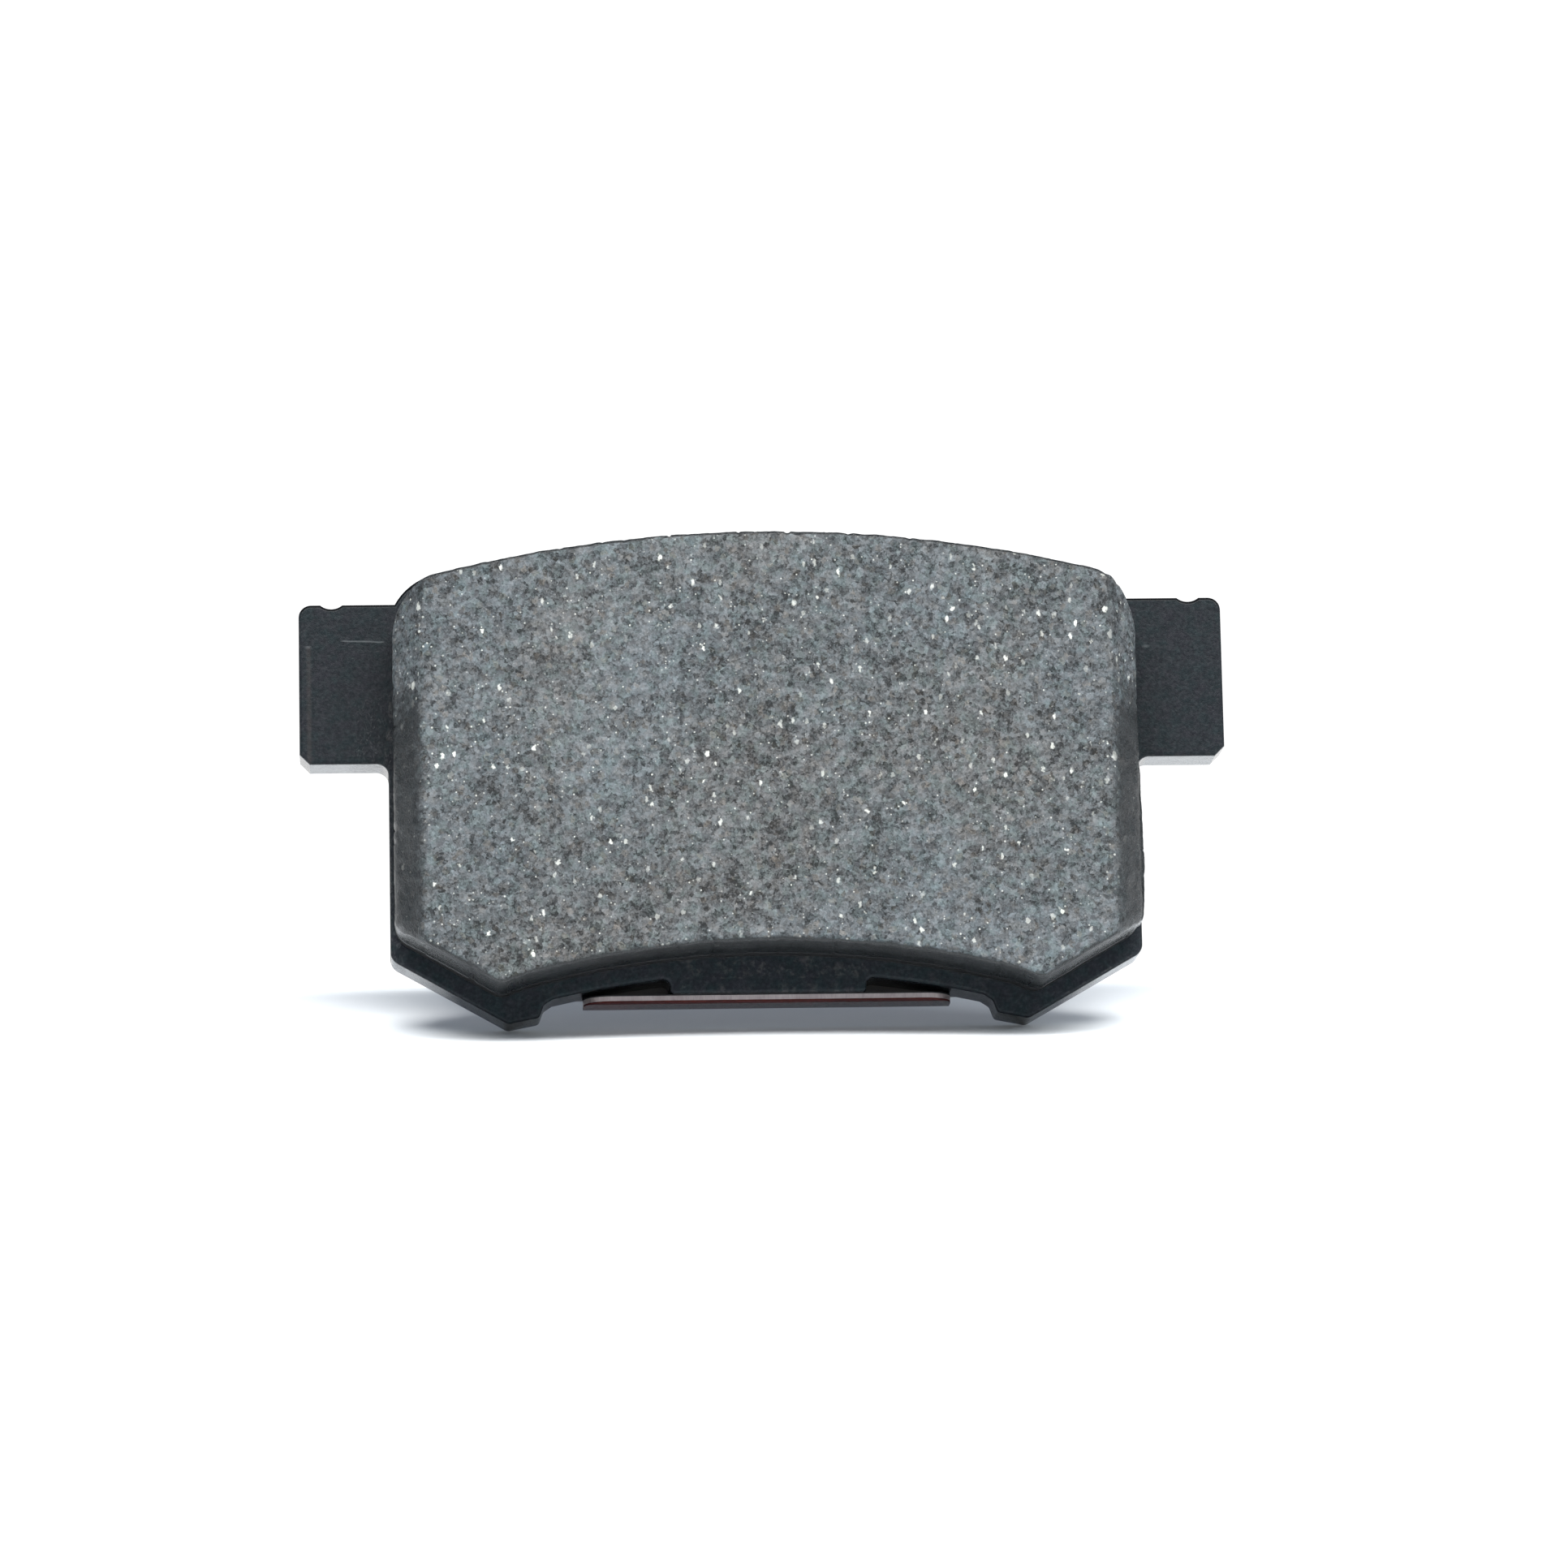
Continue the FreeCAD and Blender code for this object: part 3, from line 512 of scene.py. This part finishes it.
def vnoise(x, z, scale, seed):
    """smooth value noise of two coordinates, 0..1"""
    r = np.random.default_rng(seed)
    tab = r.random((512, 512))
    u, v = np.asarray(x) * scale + 100.37, np.asarray(z) * scale + 100.71
    i, j = np.floor(u).astype(int), np.floor(v).astype(int)
    fu, fv = u - i, v - j
    fu, fv = fu * fu * (3 - 2 * fu), fv * fv * (3 - 2 * fv)
    i0, j0, i1, j1 = i % 512, j % 512, (i + 1) % 512, (j + 1) % 512
    return ((tab[i0, j0] * (1 - fu) + tab[i1, j0] * fu) * (1 - fv)
            + (tab[i0, j1] * (1 - fu) + tab[i1, j1] * fu) * fv)


def fbm(x, z, scale, seed, octaves=3):
    t, a, n = 0.0, 1.0, 0.0
    for k in range(octaves):
        t = t + a * vnoise(x, z, scale * 2.03 ** k, seed + k)
        n += a
        a *= 0.55
    return t / n


def corner(p0, c, p1, r, n=14):
    """points of the fillet of radius r at corner c of the path p0 c p1"""
    p0, c, p1 = (np.array(q, float) for q in (p0, c, p1))
    a = (p0 - c) / np.linalg.norm(p0 - c)
    b = (p1 - c) / np.linalg.norm(p1 - c)
    half = math.acos(np.clip(a @ b, -1, 1)) / 2
    t = r / math.tan(half)
    m = (a + b) / np.linalg.norm(a + b)
    cen = c + m * r / math.sin(half)
    v0, v1 = c + a * t - cen, c + b * t - cen
    ang = math.acos(np.clip(v0 @ v1 / r / r, -1, 1))
    k = np.linspace(0, 1, n)[:, None]
    return cen + (np.sin((1 - k) * ang) * v0 + np.sin(k * ang) * v1) / math.sin(ang)


def lining_chains():
    xs = np.linspace(0, 23.3, 90)
    arc = np.stack([xs, 6.25 - (92.0 - np.sqrt(92.0 ** 2 - xs ** 2))], 1)
    c1, c2 = (25.55, 2.342), (35.55, 8.107)
    low = np.vstack([arc, corner(arc[-1], c1, c2, 1.6), corner(c1, c2, (35.55, 30.0), 2.2)])
    a = np.linspace(0, math.atan2(5.44, 1.35), 26)
    top = np.stack([29.95 + 5.6 * np.cos(a), 36.49 + 5.6 * np.sin(a)], 1)
    xs = np.linspace(31.2, 0, 90)
    top = np.vstack([top, np.stack([xs, 45.75 - (130.0 - np.sqrt(130.0 ** 2 - xs ** 2))], 1)])
    return low, top


def build_lining():
    low, top = lining_chains()
    near = np.array([0, 0.025, 0.06, 0.11, 0.18, 0.27, 0.38, 0.52, 0.70])
    mid = np.linspace(-(LIN_X - 0.92), LIN_X - 0.92, 305)
    xs = np.concatenate([-LIN_X + near, mid, LIN_X - near[::-1]])
    zb = np.interp(np.abs(xs), low[:, 0], low[:, 1])
    zt = np.interp(np.abs(xs), top[::-1, 0], top[::-1, 1])
    nm = 168
    t = np.linspace(0, 1, nm)
    lo = zb[:, None] + near[None, :]
    hi = zt[:, None] - near[None, ::-1]
    md = (zb + 0.92)[:, None] * (1 - t) + (zt - 0.92)[:, None] * t
    Z = np.concatenate([lo, md, hi], 1)
    X = np.repeat(xs[:, None], Z.shape[1], 1)
    nx, nz = X.shape

    # closed outline and the distance of each point from it
    half = np.vstack([low, top])
    ring = np.vstack([half, (half * (-1, 1))[::-1]])
    seg_a, seg_b = ring, np.roll(ring, -1, 0)
    keep = np.linalg.norm(seg_b - seg_a, axis=1) > 1e-9
    seg_a, seg_b = seg_a[keep], seg_b[keep]

    def dist(px, pz):
        out = np.full(px.shape, 9.0)
        ba = seg_b - seg_a
        bb = (ba ** 2).sum(1)
        flat = np.stack([px.ravel(), pz.ravel()], 1)
        res = np.empty(len(flat))
        for k in range(0, len(flat), 4000):
            pa = flat[k:k + 4000, None, :] - seg_a[None]
            h = np.clip((pa * ba).sum(2) / bb, 0, 1)
            res[k:k + 4000] = np.sqrt(((pa - h[..., None] * ba) ** 2).sum(2)).min(1)
        return res.reshape(out.shape)

    D = np.full(X.shape, 9.0)
    edge = (Z - zb[:, None] < 2.2) | (zt[:, None] - Z < 2.2) | (np.abs(X) > LIN_X - 1.6)
    D[edge] = dist(X[edge], Z[edge])

    # the edge breaks over a radius that wanders; it is widest along the arch
    wander = fbm(X, Z, 0.55, 11, 3)
    arch = np.clip((14.0 - Z) / 6.0, 0, 1)
    R = 0.30 + 0.22 * wander + arch * (0.16 + 0.34 * wander)
    q = np.clip(1 - D / R, 0, 1)
    rise = R * (1 - np.sqrt(np.clip(1 - q * q, 0, 1)))

    c = (np.abs(X) + 0.55 * (fbm(X, Z, 0.7, 31, 3) - 0.5) - (LIN_X - 2.6)) * 3.7 / 2.6
    cham = 0.5 * (c + np.sqrt(c * c + 0.55 ** 2))
    cham -= 0.5 * (-2.6 * 3.7 / 2.6 * 4 + np.sqrt((2.6 * 3.7 / 2.6 * 4) ** 2 + 0.55 ** 2))

    def relief(x, z):
        g = fbm(x, z, 2.3, 51, 3)
        pits = np.clip(fbm(x, z, 1.45, 71, 2) - 0.66, 0, 1) * 0.55
        rough_end = np.clip((np.abs(x) - 32.4) / 1.0, 0, 1) * np.clip((z - 28.0) / 4.0, 0, 1)
        return (0.030 + 0.09 * rough_end) * (g - 0.30) + pits

    Y = Y_FACE + cham + rise + np.clip(relief(X, Z), -0.01, 0.3)

    def ragged(x, z, d):
        """sideways wander of the moulded edge, dying out 1.2 mm inside"""
        f = np.clip(1 - d / 1.2, 0, 1)
        a = (fbm(x, z, 0.9, 91, 3) - 0.5) * 0.16
        chip = np.clip(fbm(x, z, 1.7, 101, 2) - 0.70, 0, 1) * 0.9
        cx, cz = 0.0, 22.0
        ux, uz = x - cx, (z - cz) * 1.5
        n = np.sqrt(ux * ux + uz * uz) + 1e-6
        m = f * (a - chip)
        return x + m * ux / n, z + m * uz / n

    X2, Z2 = ragged(X, Z, D)
    front = np.stack([X2, Y, Z2], 2).reshape(-1, 3)
    idx = np.arange(nx * nz).reshape(nx, nz)
    loop = np.concatenate([idx[:, 0], idx[-1, 1:], idx[-2::-1, -1], idx[0, -2:0:-1]])

    lx, lz, ly = X.ravel()[loop], Z.ravel()[loop], Y.ravel()[loop]
    # outward direction along the loop
    tx = np.roll(lx, -3) - np.roll(lx, 3)
    tz = np.roll(lz, -3) - np.roll(lz, 3)
    ln = np.sqrt(tx * tx + tz * tz)
    ox, oz = tz / ln, -tx / ln
    fr = np.array([0.03, 0.08, 0.15, 0.24, 0.36, 0.5, 0.64, 0.78, 0.9, 1.0])
    verts = [front]
    for s in fr:
        y = ly + (Y_LIN_BACK - ly) * s
        depth = y - ly
        wob = (fbm(lx * 0.7 + lz * 0.7, y, 0.8, 121, 3) - 0.5) * 0.14 * np.clip(depth / 0.8, 0, 1)
        bulge = 0.42 * np.exp(-((lz - 15.0) / 7.5) ** 2) * (ox > 0.9) * np.clip((y + 6.0) / 4.0, 0, 1)
        wx, wz = ragged(lx, lz, np.zeros_like(lx))
        off = (wob + bulge) * (0.0 if s == 1.0 else 1.0) + (bulge * 0.9 if s == 1.0 else 0.0)
        verts.append(np.stack([wx + ox * off, y, wz + oz * off], 1))
    V = np.vstack(verts) * MM
    f = []
    a, b, c_, d = idx[:-1, :-1], idx[1:, :-1], idx[1:, 1:], idx[:-1, 1:]
    f.append(np.stack([a, b, c_, d], 2).reshape(-1, 4))
    n = len(loop)
    prev = loop
    base = nx * nz
    for k in range(len(fr)):
        cur = base + np.arange(n) + k * n
        f.append(np.stack([np.roll(prev, -1), prev, cur, np.roll(cur, -1)], 1))
        prev = cur
    faces = np.vstack(f).tolist()
    faces.append(prev.tolist())
    me = bpy.data.meshes.new("lining_block")
    me.from_pydata(V.tolist(), [], faces)
    me.validate()
    for pl in me.polygons:
        pl.use_smooth = True
    me.polygons[len(me.polygons) - 1].use_smooth = False
    ob = bpy.data.objects.new("lining_block", me)
    scene.collection.objects.link(ob)
    me.materials.append(MAT["friction"])
    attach(ob, "root")
    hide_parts("friction_lining")
    return ob


build_lining()

# ------------------------------------------------------------------ floor and light
LEAN = math.radians(16.0)          # how far the pad leans back on its heels
TANL = math.tan(LEAN)
N_UP = Vector((0.0, -math.sin(LEAN), math.cos(LEAN)))


def floor_profile():
    """(y, z) from far in front to far behind: the table the pad stands on,
    which rounds off and falls away behind it."""
    y0 = 0.006675
    pts = [(-0.42, (-0.42 - y0) * TANL), (-0.25, (-0.25 - y0) * TANL),
           (-0.1, (-0.1 - y0) * TANL), (0.0, (0.0 - y0) * TANL)]
    yc, a = 0.036, LEAN
    y, z = yc, (yc - y0) * TANL
    pts.append((y, z))
    for _ in range(24):
        a -= math.radians(22.0) / 24
        y += 0.0014 * math.cos(a)
        z += 0.0014 * math.sin(a)
        pts.append((y, z))
    for d in (0.05, 0.12, 0.22):
        pts.append((y + d, z + d * math.tan(a)))
    return pts


def make_floor():
    prof = floor_profile()
    xs = [-0.38, -0.2, -0.1, 0.0, 0.1, 0.2, 0.38]
    verts = [(x, y, z) for (y, z) in prof for x in xs]
    nx = len(xs)
    faces = [(j * nx + i, j * nx + i + 1, (j + 1) * nx + i + 1, (j + 1) * nx + i)
             for j in range(len(prof) - 1) for i in range(nx - 1)]
    me = bpy.data.meshes.new("floor")
    me.from_pydata(verts, [], faces)
    for f in me.polygons:
        f.use_smooth = True
    ob = bpy.data.objects.new("floor", me)
    scene.collection.objects.link(ob)
    m, nt, p = material("floor_white")
    P = nt.coords()
    n = nt.noise(P, 0.08, 2.0, 0.5)
    c = nt.ramp(n, ((0.3, (0.81, 0.845, 0.87)), (0.7, (0.84, 0.87, 0.89))))
    nt.put(p.inputs["Base Color"], c)
    p.inputs["Roughness"].default_value = 0.55
    p.inputs["Specular IOR Level"].default_value = 0.12
    me.materials.append(m)
    return ob


make_floor()

world = bpy.data.worlds.new("studio")
scene.world = world
world.use_nodes = True
wt = NT(world.node_tree)
wout = wt.add("ShaderNodeOutputWorld")
tc = wt.add("ShaderNodeTexCoord")
up = wt.vmath("DOT_PRODUCT", tc.outputs["Generated"], tuple(N_UP))
col = wt.ramp(wt.mapr(up, -0.2, 1.0), ((0.0, (1.0, 1.0, 1.0)), (0.30, (1.0, 1.0, 1.0)), (0.40, (0.20, 0.235, 0.28)), (1.0, (0.16, 0.195, 0.24))))
bg = wt.add("ShaderNodeBackground")
wt.link(col, bg.inputs[0])
bg.inputs[1].default_value = 1.15
wt.link(bg.outputs[0], wout.inputs[0])


def area(name, loc, target, size, power, color=(1, 1, 1)):
    d = bpy.data.lights.new(name, "AREA")
    d.shape = "RECTANGLE"
    d.size, d.size_y = size
    d.energy = power
    d.color = color
    o = bpy.data.objects.new(name, d)
    scene.collection.objects.link(o)
    o.location = loc
    v = (Vector(target) - Vector(loc)).normalized()
    o.rotation_euler = v.to_track_quat("-Z", "Y").to_euler()
    return o


# main softbox high in front, a weaker one from the left
area("key", (0.03, -0.594, 0.535), (0, 0, 0.02), (1.0, 0.34), 23.0, (1.0, 0.99, 0.98))
area("fill", (0.62, -0.5, 0.30), (0, 0, 0.02), (0.4, 0.4), 2.2, (0.93, 0.97, 1.0))
